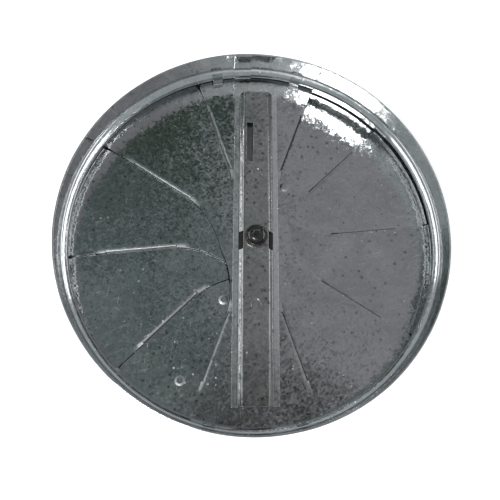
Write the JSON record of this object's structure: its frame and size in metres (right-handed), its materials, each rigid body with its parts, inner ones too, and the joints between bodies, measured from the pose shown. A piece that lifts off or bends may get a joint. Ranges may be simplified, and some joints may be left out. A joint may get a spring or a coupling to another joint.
{
  "type": "round air outlet damper",
  "caption": "Round volume damper for an air outlet's neck: a beaded collar with a bridge plate and hat channel, and double blades that fan out on a central screw to close it.",
  "frame": {"origin": "centre of the collar's back rim, which the part rests on", "axes": "+Z along the duct axis towards the front (room side); +Y along the bridge channel towards its slotted end"},
  "size_m": [0.199, 0.199, 0.05],
  "materials": {
    "galvanised_collar": "galvanised strip, rolled, semi-bright",
    "galvanised_sheet": "galvanised sheet with fine spangle, semi-bright",
    "galvanised_channel": "galvanised strip, folded",
    "zinc_plated_steel": "bright zinc plate",
    "blackened_steel": "black oxide, satin"
  },
  "bodies": {
    "frame": {"collar": "galvanised_collar", "bridge_plate": "galvanised_sheet", "bridge_channel": "galvanised_channel", "front_washer": "blackened_steel"},
    "fan_blade_1": {"blade_1": "galvanised_sheet"},
    "fan_blade_2": {"blade_2": "galvanised_sheet"},
    "fan_blade_3": {"blade_3": "galvanised_sheet"},
    "drive": {"blade_4": "galvanised_sheet", "pivot_screw": "blackened_steel", "spring_washer": "blackened_steel", "spacer_washer_1": "zinc_plated_steel", "spacer_washer_2": "zinc_plated_steel", "spacer_washer_3": "zinc_plated_steel", "spacer_washer_4": "zinc_plated_steel", "rear_washer": "zinc_plated_steel", "lock_nut": "zinc_plated_steel"}
  },
  "joints": [
    {"name": "drive_turn", "type": "hinge", "parent": "frame", "child": "drive", "pos_m": [0, 0, 0.022], "axis": [0, 0, 1], "range_deg": [-147.2, 0]},
    {"name": "blade_3_turn", "type": "hinge", "parent": "frame", "child": "fan_blade_3", "pos_m": [0, 0, 0.0237], "axis": [0, 0, 1], "range_deg": [-110.4, 0]},
    {"name": "blade_2_turn", "type": "hinge", "parent": "frame", "child": "fan_blade_2", "pos_m": [0, 0, 0.0253], "axis": [0, 0, 1], "range_deg": [-73.6, 0]},
    {"name": "blade_1_turn", "type": "hinge", "parent": "frame", "child": "fan_blade_1", "pos_m": [0, 0, 0.0269], "axis": [0, 0, 1], "range_deg": [-36.8, 0]}
  ],
  "couplings": [
    {"joint": "blade_3_turn", "follows": "drive_turn", "ratio": 0.75},
    {"joint": "blade_2_turn", "follows": "drive_turn", "ratio": 0.5},
    {"joint": "blade_1_turn", "follows": "drive_turn", "ratio": 0.25}
  ]
}
